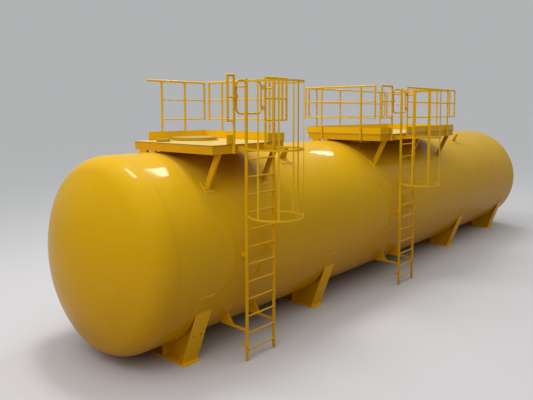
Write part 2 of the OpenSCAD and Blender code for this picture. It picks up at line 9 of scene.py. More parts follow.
# %% Load the CAD model
import bpy
import json
import math
from mathutils import Euler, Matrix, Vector


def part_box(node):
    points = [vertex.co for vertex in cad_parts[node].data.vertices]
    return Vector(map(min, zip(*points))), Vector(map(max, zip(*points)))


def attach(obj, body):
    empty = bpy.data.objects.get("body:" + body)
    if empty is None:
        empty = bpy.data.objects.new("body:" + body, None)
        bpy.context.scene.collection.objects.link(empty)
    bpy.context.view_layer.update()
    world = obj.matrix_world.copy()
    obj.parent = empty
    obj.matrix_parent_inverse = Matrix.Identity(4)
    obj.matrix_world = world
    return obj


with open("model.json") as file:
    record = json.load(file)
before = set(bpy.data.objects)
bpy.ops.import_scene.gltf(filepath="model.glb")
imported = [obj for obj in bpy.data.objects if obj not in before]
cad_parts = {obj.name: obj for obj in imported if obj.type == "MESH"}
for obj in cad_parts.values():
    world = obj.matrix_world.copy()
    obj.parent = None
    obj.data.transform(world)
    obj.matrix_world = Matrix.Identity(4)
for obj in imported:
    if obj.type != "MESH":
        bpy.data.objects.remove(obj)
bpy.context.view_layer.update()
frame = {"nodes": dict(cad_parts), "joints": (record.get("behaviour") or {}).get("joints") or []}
NODES = frame["nodes"]

# %% [markdown]
# ## Sizes that later steps share
#
# A detail only looks right when it sits exactly on its carrier. So few places are typed: the
# steps below measure the CAD nodes, such as where a course of the shell ends or how high a deck
# lies, and work out their own places from those boxes.

# %% Measure the CAD nodes


def span(node, axis):
    """The lowest and highest place of a CAD node along x, y or z."""
    low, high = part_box(node)
    i = "xyz".index(axis)
    return low[i], high[i]


def middle(node, axis):
    """The place halfway along a CAD node."""
    low, high = span(node, axis)
    return (low + high) / 2


SHELL_R = (span("shell_course_3", "y")[1] - span("shell_course_3", "y")[0]) / 2
AXIS_Z = middle("shell_course_3", "z")
SEAM_START = span("shell_course_1", "x")[0]
SEAM_PITCH = span("shell_course_1", "x")[1] - SEAM_START
DECK_Z = span("deck_plate_1", "z")[1]
LADDER_X = {k: middle(f"ladder_{k}", "x") for k in (1, 2)}
STILE_DEPTH = 0.050
STILE_WIDTH = 0.020
LADDER_Y = span("ladder_1", "y")[0] + STILE_DEPTH / 2
STILE_OUT = (span("ladder_1", "x")[1] - span("ladder_1", "x")[0]) / 2
print("shell radius", round(SHELL_R, 4), "axis height", round(AXIS_Z, 4))
print("deck height", round(DECK_Z, 4), "seams every", round(SEAM_PITCH, 3))
print("ladders at", {k: round(x, 3) for k, x in LADDER_X.items()})

# %% [markdown]
# ## The camera
#
# The photograph was taken with a wide lens from about four metres up: the horizon lies high in the
# picture and the near end of the tank looks much larger than the far end. The place, the turn and
# the lens were worked out from straight edges on the tank. The lens shift stands for a picture
# that was cropped, so the camera itself stays almost level and upright lines stay upright.

# %% Set the camera
CAMERA_PLACE = Vector((-12.1736, -7.4854, 3.9893))
# In degrees: the turn from +X towards +Y, the tilt below level and the picture's lean.
HEADING = 41.6283
LOOK_DOWN = 4.2463
ROLL = 0.0876

camera_data = bpy.data.cameras.new("photo_camera")
camera_data.sensor_width = 36.0
camera_data.lens = 36.377
camera_data.shift_x = 0.0041
camera_data.shift_y = -0.0905
camera_data.clip_end = 400.0
camera = bpy.data.objects.new("photo_camera", camera_data)
camera.location = CAMERA_PLACE
camera.rotation_euler = Euler((math.radians(90.0 - LOOK_DOWN), 0.0, math.radians(HEADING - 90.0)))
camera.rotation_euler.rotate_axis("Z", math.radians(-ROLL))
bpy.context.collection.objects.link(camera)
bpy.context.scene.camera = camera
print("camera at", [round(v, 3) for v in camera.location], "lens", camera_data.lens)

# %% [markdown]
# ## Helpers for modelling
#
# Every operator works on what is selected, so each step starts by selecting nothing. A finished
# piece has its place inside its mesh, like the CAD nodes, so a pattern that follows the object's
# own space runs on from one piece to the next.

# %% Helpers for edit mode


def deselect_all():
    """Leaves edit mode and selects nothing."""
    if bpy.context.object and bpy.context.object.mode != "OBJECT":
        bpy.ops.object.mode_set(mode="OBJECT")
    bpy.ops.object.select_all(action="DESELECT")


def select_faces(piece, wanted):
    """Selects the faces of a piece whose centre and normal pass a test, and enters edit mode."""
    deselect_all()
    bpy.context.view_layer.objects.active = piece
    piece.select_set(True)
    bpy.ops.object.mode_set(mode="EDIT")
    bpy.ops.mesh.select_mode(type="FACE")
    bpy.ops.mesh.select_all(action="DESELECT")
    bpy.ops.object.mode_set(mode="OBJECT")
    for face in piece.data.polygons:
        face.select = wanted(face.center, face.normal)
    bpy.ops.object.mode_set(mode="EDIT")


def finish_piece(piece, name, material):
    """Puts a piece's place into its mesh, names it and gives it one material."""
    deselect_all()
    piece.select_set(True)
    bpy.context.view_layer.objects.active = piece
    bpy.ops.object.transform_apply(location=True, rotation=True, scale=True)
    piece.name = name
    piece.data.name = name
    piece.data.materials.clear()
    if material:
        piece.data.materials.append(material)
    return piece


def join_pieces(pieces, name, material, body="tank"):
    """Makes one piece of many. It rides on a body and takes its finish from a slot."""
    deselect_all()
    for piece in pieces:
        piece.select_set(True)
    bpy.context.view_layer.objects.active = pieces[0]
    if len(pieces) > 1:
        bpy.ops.object.join()
    joined = finish_piece(bpy.context.object, name, material)
    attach(joined, body)
    print(name, "has", len(joined.data.polygons), "faces")
    return joined


def copies_at(master, places):
    """A copy of a master, with its own mesh, at each place; its +Z looks along the direction."""
    pieces = []
    for place, direction in places:
        piece = master.copy()
        piece.data = master.data.copy()
        piece.location = place
        piece.rotation_euler = Vector(direction).to_track_quat("Z", "Y").to_euler()
        bpy.context.collection.objects.link(piece)
        pieces.append(piece)
    return pieces


# %% [markdown]
# ## Helpers for materials
#
# All the paints share the same small faults: a faint unevenness of tone, the fine ripple that
# sprayers call orange peel, and a little dust on faces that look up. Such a shared effect is a
# shader node group with named inputs and outputs, built once and placed in each material with
# its own values.

# %% Node helpers


def new_group(name, inputs, outputs):
    """An empty shader node group. Each input is (name, kind, default), each output (name, kind)."""
    tree = bpy.data.node_groups.new(name, "ShaderNodeTree")
    kinds = {"value": "NodeSocketFloat", "color": "NodeSocketColor"}
    for label, kind, default in inputs:
        socket = tree.interface.new_socket(name=label, in_out="INPUT", socket_type=kinds[kind])
        socket.default_value = default
    for label, kind in outputs:
        tree.interface.new_socket(name=label, in_out="OUTPUT", socket_type=kinds[kind])
    return tree, tree.nodes.new("NodeGroupInput").outputs, tree.nodes.new("NodeGroupOutput").inputs


def connect(tree, value, socket):
    """Links a value into a socket, or writes it there when it is a plain number or colour."""
    if isinstance(value, bpy.types.NodeSocket):
        tree.links.new(value, socket)
    else:
        socket.default_value = value


def put(tree, kind, **settings):
    """A node of one kind in a tree. A setting is a property, or an input's value or link."""
    item = tree.nodes.new(kind)
    for key, value in settings.items():
        if key.startswith("in_"):
            label = key[3:].replace("_", " ")
            connect(tree, value, item.inputs[int(label) if label.isdigit() else label])
        else:
            setattr(item, key, value)
    return item


def math_node(tree, operation, first, second=0.0, third=0.0):
    """The output of one Math node."""
    return put(tree, "ShaderNodeMath", operation=operation, in_0=first, in_1=second,
               in_2=third).outputs[0]


def ramp_between(tree, value, low, high, start=0.0, end=1.0, curve="LINEAR"):
    """A value's place between two limits, as a number from start to end."""
    return put(tree, "ShaderNodeMapRange", interpolation_type=curve, in_0=value, in_1=low,
               in_2=high, in_3=start, in_4=end).outputs[0]


def noise(tree, place, scale, detail, roughness=0.5):
    """The value of one Noise node, from 0 to 1."""
    return put(tree, "ShaderNodeTexNoise", in_Vector=place, in_Scale=scale, in_Detail=detail,
               in_Roughness=roughness).outputs[0]


def seen_rays(tree):
    """1 where a ray comes from the camera, a mirror or glass, and 0 where it carries soft light."""
    path = put(tree, "ShaderNodeLightPath").outputs
    mirrored = math_node(tree, "MAXIMUM", path["Is Glossy Ray"], path["Is Transmission Ray"])
    return math_node(tree, "MAXIMUM", path["Is Camera Ray"], mirrored)


def blend_color(tree, amount, first, second):
    """The colour output of a Mix node."""
    return put(tree, "ShaderNodeMix", data_type="RGBA", in_0=amount, in_6=first,
               in_7=second).outputs[2]


# %% Build the paint film group
CLOUD_SHARE = 0.4
STREAK_SHARE = 0.22
CLOUD_ROUGHNESS = 0.10
DUST_ROUGHNESS = 0.9
DUST_COLOR = (0.70, 0.60, 0.38, 1.0)


def build_paint_film():
    """Paint whose colour drifts to the thin coat's in clouds and upright streaks, with dust."""
    tree, given, result = new_group(
        "paint_film",
        [("Paint", "color", (0.6, 0.35, 0.01, 1.0)),
         ("Thin Coat", "color", (0.5, 0.28, 0.01, 1.0)),
         ("Dust", "value", 0.1),
         ("Ripple Size", "value", 220.0),
         ("Roughness", "value", 0.25)],
        [("Color", "color"), ("Roughness", "value"), ("Height", "value")])
    place = put(tree, "ShaderNodeTexCoord").outputs["Object"]
    cloud = noise(tree, place, scale=0.55, detail=5.0, roughness=0.6)
    cloudy = ramp_between(tree, cloud, 0.38, 0.72, end=CLOUD_SHARE)
    tone = blend_color(tree, cloudy, given["Paint"], given["Thin Coat"])
    tall = put(tree, "ShaderNodeMapping", in_Vector=place, in_Scale=(3.0, 3.0, 0.35)).outputs[0]
    streak = noise(tree, tall, scale=2.2, detail=4.0)
    streaks = ramp_between(tree, streak, 0.5, 0.75, end=STREAK_SHARE)
    streaked = blend_color(tree, streaks, tone, given["Thin Coat"])
    normal = put(tree, "ShaderNodeNewGeometry").outputs["Normal"]
    up = put(tree, "ShaderNodeSeparateXYZ", in_0=normal).outputs[2]
    speck = noise(tree, place, scale=3.0, detail=6.0, roughness=0.6)
    specks = ramp_between(tree, speck, 0.30, 0.75)
    lying = math_node(tree, "MULTIPLY", ramp_between(tree, up, 0.55, 1.0), specks)
    dust = math_node(tree, "MULTIPLY", lying, given["Dust"])
    connect(tree, blend_color(tree, dust, streaked, DUST_COLOR), result["Color"])
    smear = math_node(tree, "MULTIPLY_ADD", cloud, CLOUD_ROUGHNESS, given["Roughness"])
    connect(tree, math_node(tree, "MULTIPLY_ADD", dust, DUST_ROUGHNESS, smear), result["Roughness"])
    ripple = noise(tree, place, scale=given["Ripple Size"], detail=1.0)
    connect(tree, ripple, result["Height"])
    return tree


paint_film = build_paint_film()
print("group:", paint_film.name, [item.name for item in paint_film.interface.items_tree])

# %% [markdown]
# ## Girth seams
#
# The shell is rolled from short courses that are welded end to end. The weld is ground almost
# flush and painted over, so it shows as a faint band round the tank. A ring of real geometry
# would stand outside the tank's true size, so the band is a bump in the paint: the distance to
# the nearest seam along the tank, turned into a low, slightly uneven bead.

# %% Build the girth seam group


def build_girth_seams():
    """A bead round the tank at every pitch along it, counted from the start."""
    tree, given, result = new_group(
        "girth_seams",
        [("Start", "value", -7.0), ("Pitch", "value", 3.0), ("Half Width", "value", 0.016)],
        [("Mask", "value"), ("Height", "value")])
    place = put(tree, "ShaderNodeTexCoord").outputs["Object"]
    along = put(tree, "ShaderNodeSeparateXYZ", in_0=place).outputs[0]
    from_start = math_node(tree, "SUBTRACT", along, given["Start"])
    steps = math_node(tree, "DIVIDE", from_start, given["Pitch"])
    past = math_node(tree, "SUBTRACT", steps, math_node(tree, "ROUND", steps))
    off = math_node(tree, "MULTIPLY", math_node(tree, "ABSOLUTE", past), given["Pitch"])
    away = math_node(tree, "DIVIDE", off, given["Half Width"])
    bead = ramp_between(tree, away, 0.0, 1.0, start=1.0, end=0.0, curve="SMOOTHSTEP")
    grain = noise(tree, place, scale=38.0, detail=2.0)
    passes = ramp_between(tree, grain, 0.3, 0.7, start=0.7, end=1.0)
    connect(tree, bead, result["Mask"])
    connect(tree, math_node(tree, "MULTIPLY", bead, passes), result["Height"])
    return tree


girth_seams = build_girth_seams()
print("group:", girth_seams.name, [item.name for item in girth_seams.interface.items_tree])

# %% [markdown]
# ## Tread pattern
#
# The decks are floor plate with raised bars, laid crosswise in turn so that a boot grips in every
# direction. There are thousands of bars, each only 2 mm high, so they are a bump. The plate is
# cut into small squares, each square holds one bar, and the bar's lean alternates like the
# colours of a chessboard.

# %% Build the tread group
# The bar's length and width are shares of a cell.
BAR_LENGTH = 0.72
BAR_WIDTH = 0.24
WORN_SHARE = 0.5


def build_tread_bars():
    """One raised oval bar per square cell, leaning one way or the other in turn."""
    tree, given, result = new_group(
        "tread_bars", [("Cell", "value", 0.035)], [("Height", "value"), ("Worn", "value")])
    spot = put(tree, "ShaderNodeTexCoord").outputs["Object"]
    place = put(tree, "ShaderNodeSeparateXYZ", in_0=spot).outputs
    cells, parts = [], []
    for axis in (0, 1):
        scaled = math_node(tree, "DIVIDE", place[axis], given["Cell"])
        cells.append(math_node(tree, "FLOOR", scaled))
        parts.append(math_node(tree, "SUBTRACT", math_node(tree, "FRACT", scaled), 0.5))
    parity = math_node(tree, "FLOORED_MODULO", math_node(tree, "ADD", cells[0], cells[1]), 2.0)
    lean = math_node(tree, "MULTIPLY_ADD", parity, 2.0, -1.0)
    other = math_node(tree, "MULTIPLY", parts[1], lean)
    length = math_node(tree, "DIVIDE", math_node(tree, "ADD", parts[0], other), BAR_LENGTH)
    width = math_node(tree, "DIVIDE", math_node(tree, "SUBTRACT", parts[0], other), BAR_WIDTH)
    squares = [math_node(tree, "POWER", side, 2.0) for side in (length, width)]
    reach = math_node(tree, "ADD", *squares)
    bar = ramp_between(tree, reach, 0.5, 1.1, start=1.0, end=0.0, curve="SMOOTHSTEP")
    connect(tree, bar, result["Height"])
    connect(tree, math_node(tree, "MULTIPLY", bar, WORN_SHARE), result["Worn"])
    return tree


tread_bars = build_tread_bars()
print("group:", tread_bars.name, [item.name for item in tread_bars.interface.items_tree])

# %% [markdown]
# ## Painted shade and grime lines
#
# Where one plate laps over another, the joint below it stays in shade and holds a thin line of
# dirt. The dark line put there is mostly painted shade, with that dirt in it. The deck's edge
# shows such a line between the toe board, the floor plate and the channel. The line follows one
# height, fades out above and below it, and is broken up by noise.

# %% Build the painted shade and grime line group


def build_shade_and_grime_line():
    """A broken dark line at one height: painted shade under a lapped edge, with some dirt."""
    tree, given, result = new_group(
        "shade_and_grime_line", [("Level", "value", 3.4), ("Depth", "value", 0.012)], [("Mask", "value")])
    place = put(tree, "ShaderNodeTexCoord").outputs["Object"]
    up = put(tree, "ShaderNodeSeparateXYZ", in_0=place).outputs[2]
    off = math_node(tree, "ABSOLUTE", math_node(tree, "SUBTRACT", up, given["Level"]))
    away = math_node(tree, "DIVIDE", off, given["Depth"])
    near = ramp_between(tree, away, 0.3, 1.0, start=1.0, end=0.0)
    patches = noise(tree, place, scale=6.0, detail=6.0)
    broken = ramp_between(tree, patches, 0.3, 0.6, start=0.45, end=1.0)
    connect(tree, math_node(tree, "MULTIPLY", near, broken), result["Mask"])
    return tree


shade_and_grime_line = build_shade_and_grime_line()
print("group:", shade_and_grime_line.name, [item.name for item in shade_and_grime_line.interface.items_tree])

# %% [markdown]
# ## The yellows
#
# The vessel wears a thick gloss coat that mirrors bright things as soft highlights. The ladders,
# rails and decks were sprayed with the same yellow, a shade warmer and less glossy on the many
# thin pieces. The toe boards and the weld beads get a lighter copy of that yellow: painted light
# on the toe boards and a painted highlight on the beads. The deck plates carry dust and shine pale
# at a flat angle, where any gloss coat mirrors most. Each material places the shared groups with
# its own values, and adds only what is its own.

# %% Make the paints
RIPPLE_HEIGHT = 0.0015
STEEL_FINISH = {"ripple": 140.0, "roughness": 0.34, "bump": 0.12, "shine": 0.08, "coat": 0.12}


def make_paint(name, paint, thin, dust, ripple, roughness, bump, shine, coat, coat_roughness=0.07):
    """A painted steel material, its film node and its bump node, to which more can be added."""
    material = bpy.data.materials.new(name)
    material.use_nodes = True
    tree = material.node_tree
    shader = tree.nodes["Principled BSDF"]
    film = put(tree, "ShaderNodeGroup", node_tree=paint_film, in_Paint=paint, in_Thin_Coat=thin,
               in_Dust=dust, in_Ripple_Size=ripple, in_Roughness=roughness)
    relief = put(tree, "ShaderNodeBump", in_Strength=bump, in_Distance=RIPPLE_HEIGHT,
                 in_Height=film.outputs["Height"])
    tree.links.new(film.outputs["Color"], shader.inputs["Base Color"])
    tree.links.new(film.outputs["Roughness"], shader.inputs["Roughness"])
    tree.links.new(relief.outputs["Normal"], shader.inputs["Normal"])
    shader.inputs["Specular IOR Level"].default_value = shine
    shader.inputs["Coat Weight"].default_value = coat
    shader.inputs["Coat Roughness"].default_value = coat_roughness
    return material, film, relief


vessel_paint, vessel_film, vessel_relief = make_paint(
    "vessel_paint", (0.71, 0.395, 0.003, 1.0), (0.63, 0.325, 0.002, 1.0), dust=0.10,
    ripple=30.0, roughness=0.30, bump=0.03, shine=0.03, coat=0.2)
steel_paint, _, _ = make_paint(
    "steelwork_paint", (0.78, 0.425, 0.004, 1.0), (0.68, 0.36, 0.003, 1.0), dust=0.12,
    **STEEL_FINISH)
tread_paint, tread_film, tread_relief = make_paint(
    "tread_plate_paint", (0.76, 0.48, 0.02, 1.0), (0.68, 0.41, 0.015, 1.0), dust=0.55,
    ripple=140.0, roughness=0.38, bump=0.12, shine=0.3, coat=0.6, coat_roughness=0.3)
# The weld beads get a lighter yellow than the plates they join: a painted highlight, as on plate
# edges that catch the light from above.
highlight_weld_paint, _, _ = make_paint(
    "weld_bead_highlight_paint", (0.92, 0.56, 0.02, 1.0), (0.80, 0.46, 0.01, 1.0), dust=0.1,
    ripple=90.0, roughness=0.3, bump=0.5, shine=0.3, coat=0.2)
rail_paint, _, _ = make_paint(
    "rail_paint", (0.82, 0.49, 0.008, 1.0), (0.72, 0.41, 0.005, 1.0), dust=0.08,
    ripple=140.0, roughness=0.3, bump=0.1, shine=0.15, coat=0.15)
saddle_paint, _, _ = make_paint(
    "saddle_paint", (0.93, 0.53, 0.004, 1.0), (0.82, 0.45, 0.003, 1.0), dust=0.05,
    **STEEL_FINISH)
cover_paint, _, _ = make_paint(
    "cover_paint", (0.52, 0.31, 0.02, 1.0), (0.44, 0.25, 0.015, 1.0), dust=0.35,
    ripple=90.0, roughness=0.3, bump=0.08, shine=0.2, coat=0.5, coat_roughness=0.3)
edge_paint, edge_film, _ = make_paint(
    "deck_edge_paint", (0.75, 0.40, 0.004, 1.0), (0.66, 0.34, 0.003, 1.0), dust=0.12,
    **STEEL_FINISH)
# The toe boards get a lighter copy of the steelwork's yellow: painted light, for the extra light
# that falls on them.
lit_toe_paint, lit_toe_film, _ = make_paint(
    "toe_board_lit_paint", (0.88, 0.52, 0.006, 1.0), (0.78, 0.44, 0.004, 1.0), dust=0.12,
    **STEEL_FINISH)
bolt_paint, _, _ = make_paint(
    "fastener_paint", (0.62, 0.35, 0.01, 1.0), (0.45, 0.26, 0.03, 1.0), dust=0.2,
    ripple=200.0, roughness=0.38, bump=0.3, shine=0.25, coat=0.05)
print("paints:", [m.name for m in bpy.data.materials if m.name.endswith("_paint")])

# %% Add the seams to the vessel's paint
SEAM_COLOR = (0.42, 0.21, 0.005, 1.0)
SEAM_SHARE = 0.2
BEAD_HEIGHT = 0.002

tree = vessel_paint.node_tree
shader = tree.nodes["Principled BSDF"]
seams = put(tree, "ShaderNodeGroup", node_tree=girth_seams, in_Start=SEAM_START,
            in_Pitch=SEAM_PITCH)
relief = put(tree, "ShaderNodeBump", in_Strength=0.7, in_Distance=BEAD_HEIGHT,
             in_Height=seams.outputs["Height"], in_Normal=vessel_relief.outputs["Normal"])
tree.links.new(relief.outputs["Normal"], shader.inputs["Normal"])
amount = math_node(tree, "MULTIPLY", seams.outputs["Mask"], SEAM_SHARE)
color = blend_color(tree, amount, vessel_film.outputs["Color"], SEAM_COLOR)
tree.links.new(color, shader.inputs["Base Color"])
print("seams from", round(SEAM_START, 3), "every", round(SEAM_PITCH, 3))

# %% Add the tread to the deck plates' paint
WORN_COLOR = (0.88, 0.67, 0.21, 1.0)
BAR_HEIGHT = 0.002

tree = tread_paint.node_tree
shader = tree.nodes["Principled BSDF"]
bars = put(tree, "ShaderNodeGroup", node_tree=tread_bars)
relief = put(tree, "ShaderNodeBump", in_Strength=1.0, in_Distance=BAR_HEIGHT,
             in_Height=bars.outputs["Height"], in_Normal=tread_relief.outputs["Normal"])
tree.links.new(relief.outputs["Normal"], shader.inputs["Normal"])
color = blend_color(tree, bars.outputs["Worn"], tread_film.outputs["Color"], WORN_COLOR)
tree.links.new(color, shader.inputs["Base Color"])
print("tread bars every", bars.inputs["Cell"].default_value)

# %% Add the painted shade and grime lines of the decks
# The lines' dark colour is mostly painted shade under each lapped edge, with a little dirt.
SHADE_AND_GRIME_COLOR = (0.24, 0.10, 0.004, 1.0)
SHADE_AND_GRIME_SHARE = 0.75
SHADE_AND_GRIME_LEVELS = (span("deck_frame_1", "z")[1], DECK_Z)

for paint, film in ((edge_paint, edge_film), (lit_toe_paint, lit_toe_film)):
    tree = paint.node_tree
    color = film.outputs["Color"]
    for level in SHADE_AND_GRIME_LEVELS:
        line = put(tree, "ShaderNodeGroup", node_tree=shade_and_grime_line, in_Level=level)
        amount = math_node(tree, "MULTIPLY", line.outputs["Mask"], SHADE_AND_GRIME_SHARE)
        color = blend_color(tree, amount, color, SHADE_AND_GRIME_COLOR)
    tree.links.new(color, tree.nodes["Principled BSDF"].inputs["Base Color"])
print("grime lines at", [round(level, 3) for level in SHADE_AND_GRIME_LEVELS])

# %% Paint the CAD nodes
PAINTS = {
    ("shell_", "near_", "far_", "wear_", "manhole_neck_"): vessel_paint,
    ("manhole_cover_", "small_"): cover_paint,
    ("saddle_",): saddle_paint,
    ("guard_", "cage_", "gate_"): rail_paint,
    ("deck_plate_",): tread_paint,
    ("deck_frame_",): edge_paint,
    ("toe_boards_",): lit_toe_paint,
}
for name, node in NODES.items():
    fitting = [paint for starts, paint in PAINTS.items() if name.startswith(starts)]
    paint = fitting[0] if fitting else steel_paint
    for slot in node.material_slots:
        slot.material = paint
print("painted", len(NODES), "nodes in", len(PAINTS) + 1, "paints")

# %% [markdown]
# ## Flange screws
#
# The covers look smooth in the photograph, so their screws have low, flat heads. One head is
# modelled: a disc whose rim is bevelled and whose middle is inset and pressed down for the key.
# Under the flange each screw has a hexagon nut on a washer. Copies of both go round each bolt
# circle, on the manholes and on the small nozzle's blind flange.

# %% Model one screw head and one nut


def make_screw_head(radius, height):
    """A low round head with a sunk key hole, standing on z = 0."""
    deselect_all()
    bpy.ops.mesh.primitive_cylinder_add(vertices=18, radius=radius, depth=height,
                                        location=(0, 0, height / 2))
    head = bpy.context.object
    bpy.ops.object.transform_apply(location=True, rotation=True, scale=True)
    select_faces(head, lambda center, normal: normal.z > 0.9)
    bpy.ops.mesh.bevel(offset=height * 0.5, segments=2, affect="EDGES")
    bpy.ops.object.mode_set(mode="OBJECT")
    select_faces(head, lambda center, normal: normal.z > 0.9 and center.z > height * 0.9)
    bpy.ops.mesh.inset(thickness=radius * 0.45)
    bpy.ops.transform.translate(value=(0, 0, -height * 0.6))
    bpy.ops.object.mode_set(mode="OBJECT")
    return head


def make_nut(across, height, stud_d, stud_up):
    """A washer, a chamfered hexagon nut and the stud's end, standing on z = 0.

    The nut's width across its flats and its height come first, then the stud's diameter and how
    far it stands out of the nut.
    """
    washer_t = across * 0.1
    deselect_all()
    bpy.ops.mesh.primitive_cylinder_add(vertices=20, radius=across * 0.62, depth=washer_t,
                                        location=(0, 0, washer_t / 2))
    washer = bpy.context.object
    parts = [washer]
    hexagon = (6, across / math.sqrt(3), height, across * 0.07)
    stud = (12, stud_d / 2, stud_up + height, stud_d * 0.12)
    for sides, radius, depth, chamfer in (hexagon, stud):
        deselect_all()
        bpy.ops.mesh.primitive_cylinder_add(vertices=sides, radius=radius, depth=depth,
                                            location=(0, 0, washer_t + depth / 2))
        part = bpy.context.object
        select_faces(part, lambda center, normal: normal.z > 0.9)
        bpy.ops.mesh.bevel(offset=chamfer, segments=2, affect="EDGES")
        bpy.ops.object.mode_set(mode="OBJECT")
        parts.append(part)
    deselect_all()
    for part in parts:
        part.select_set(True)
    bpy.context.view_layer.objects.active = washer
    bpy.ops.object.join()
    bpy.ops.object.transform_apply(location=True, rotation=True, scale=True)
    return washer


def circle_places(center, radius, count, z, up):
    """Places round a bolt circle on one face, looking up (1) or down (-1)."""
    places = []
    for i in range(count):
        turn = 2 * math.pi * (i + 0.5) / count
        x = center[0] + radius * math.cos(turn)
        y = center[1] + radius * math.sin(turn)
        places.append(((x, y, z), (0, 0, up)))
    return places


# %% Screw down the covers and the small nozzle
# The bolt circle lies inset from the rim. The head's values are those that make_screw_head
# takes, and the nut's are those of make_nut.
MANHOLE = {"screws": 20, "flange_t": 0.030, "inset": 0.045, "head": (0.014, 0.004),
           "nut": (0.036, 0.018, 0.022, 0.012)}
NOZZLE = {"screws": 8, "flange_t": 0.022, "inset": 0.022, "head": (0.009, 0.003),
          "nut": (0.024, 0.013, 0.016, 0.008)}
FLANGES = {"manhole_cover_1": MANHOLE, "manhole_cover_2": MANHOLE, "small_nozzle": NOZZLE}

for flange, sizes in FLANGES.items():
    center = (middle(flange, "x"), middle(flange, "y"))
    left, right = span(flange, "x")
    circle_r = (right - left) / 2 - sizes["inset"]
    top = span(flange, "z")[1]
    under = top - 2 * sizes["flange_t"]
    head = make_screw_head(*sizes["head"])
    nut = make_nut(*sizes["nut"])
    pieces = copies_at(head, circle_places(center, circle_r, sizes["screws"], top, 1))
    pieces += copies_at(nut, circle_places(center, circle_r, sizes["screws"], under, -1))
    join_pieces(pieces, f"{flange}_screws", bolt_paint)
    bpy.data.objects.remove(head)
    bpy.data.objects.remove(nut)

# %% [markdown]
# ## Cage bolts
#
# A cage is bolted together from flat bars. Round button heads sit on the inner faces of the
# upright bars, so that the cage is smooth inside, and each hoop's legs are bolted to the outer
# sides of the stiles. A button is a sphere that is pressed flat and cut in half.

# %% Model and place the cage bolts
HOOP_R = 0.437
BAND_T = 0.006
HOOP_INSET = 0.020
MIDDLE_HOOP_UNDER_DECK = 0.070
BAR_COUNT = 5
BAR_SLACK = 0.0015
LEG_GAP = 0.0003
LEG_BOLTS_Y = (-0.015, 0.008)
BUTTON_R = 0.011
BUTTON_H = 0.006


def make_button(radius, height):
    """A domed head whose flat side lies on z = 0."""
    deselect_all()
    bpy.ops.mesh.primitive_uv_sphere_add(segments=12, ring_count=8, radius=radius)
    button = bpy.context.object
    button.scale.z = height / radius
    bpy.ops.object.transform_apply(location=False, rotation=False, scale=True)
    bpy.ops.object.mode_set(mode="EDIT")
    bpy.ops.mesh.select_all(action="SELECT")
    bpy.ops.mesh.bisect(plane_co=(0, 0, 0), plane_no=(0, 0, 1), clear_inner=True, use_fill=True)
    bpy.ops.object.mode_set(mode="OBJECT")
    bpy.ops.object.shade_smooth_by_angle(angle=math.radians(40))
    return button


button = make_button(BUTTON_R, BUTTON_H)
for k in (1, 2):
    cage = f"cage_{k}"
    hoop_y = span(cage, "y")[0] + HOOP_R
    low, high = span(cage, "z")
    bar_face = HOOP_R - 2 * BAND_T + BAR_SLACK
    leg_face = STILE_OUT + LEG_GAP + BAND_T
    places = []
    for z in (low + HOOP_INSET, DECK_Z - MIDDLE_HOOP_UNDER_DECK, high - HOOP_INSET):
        for i in range(BAR_COUNT):
            turn = math.radians(180 + 180 * i / (BAR_COUNT - 1))
            out = Vector((math.cos(turn), math.sin(turn), 0))
            places.append((Vector((LADDER_X[k], hoop_y, z)) + bar_face * out, -out))
        for side in (-1, 1):
            for y in LEG_BOLTS_Y:
                places.append(((LADDER_X[k] + side * leg_face, LADDER_Y + y, z), (side, 0, 0)))
    join_pieces(copies_at(button, places), f"cage_{k}_bolts", bolt_paint)
bpy.data.objects.remove(button)

# %% [markdown]
# ## Weld beads
#
# Everything else is welded. A fillet weld looks like a thin rope laid in the corner between two
# plates. Each bead is a curve with a round section that follows the corner and is then made a
# mesh. For pads on the shell the path is a rectangle with round corners, drawn flat and rolled
# onto the shell, so a bead follows its pad exactly.

# %% Weld helpers
BEAD_R = 0.005
BEAD_STEP = 0.06


def make_bead(points, closed, radius=BEAD_R):
    """A rope of weld along the points."""
    curve = bpy.data.curves.new("bead", "CURVE")
    curve.dimensions = "3D"
    spline = curve.splines.new("POLY")
    spline.points.add(len(points) - 1)
    for knot, point in zip(spline.points, points):
        knot.co = (*point, 1.0)
    spline.use_cyclic_u = closed
    curve.bevel_depth = radius
    curve.bevel_resolution = 1
    curve.use_fill_caps = not closed
    bead = bpy.data.objects.new("bead", curve)
    bpy.context.collection.objects.link(bead)
    deselect_all()
    bead.select_set(True)
    bpy.context.view_layer.objects.active = bead
    bpy.ops.object.convert(target="MESH")
    bpy.ops.object.shade_smooth()
    return bpy.context.object


def on_shell(x, angle):
    """A point on the shell. The angle is from straight up, towards the ladders."""
    return (x, -SHELL_R * math.sin(angle), AXIS_Z + SHELL_R * math.cos(angle))


def pad_bead(x, angle, half_x, half_angle, corner):
    """A bead round a pad on the shell, at x and an angle in degrees, with its corners rounded."""
    half_s = math.radians(half_angle) * SHELL_R
    flat = []
    for sx, sy, start in ((1, 1, 0), (-1, 1, 90), (-1, -1, 180), (1, -1, 270)):
        for step in range(0, 91, 30):
            turn = math.radians(start + step)
            flat.append((sx * (half_x - corner) + corner * math.cos(turn),
                         sy * (half_s - corner) + corner * math.sin(turn)))
    points = []
    for (x0, s0), (x1, s1) in zip(flat, flat[1:] + flat[:1]):
        count = max(1, math.ceil(math.hypot(x1 - x0, s1 - s0) / BEAD_STEP))
        for i in range(count):
            t = i / count
            turn = math.radians(angle) + (s0 + t * (s1 - s0)) / SHELL_R
            points.append(on_shell(x + x0 + t * (x1 - x0), turn))
    return make_bead(points, closed=True)


# %% Weld the wear plates and the saddles' horns
WEAR_ANGLE = 71.0
WEAR_CORNER = 0.045
HORN_ANGLE = 60.0
HORN_BEAD_R = 0.006
HORN_BEAD_OUT = 0.002
HORN_BEAD_UP = 0.001
WEAR_OUT = 0.0103
WEAR_R = SHELL_R + WEAR_OUT
RIB_INSET = 0.020

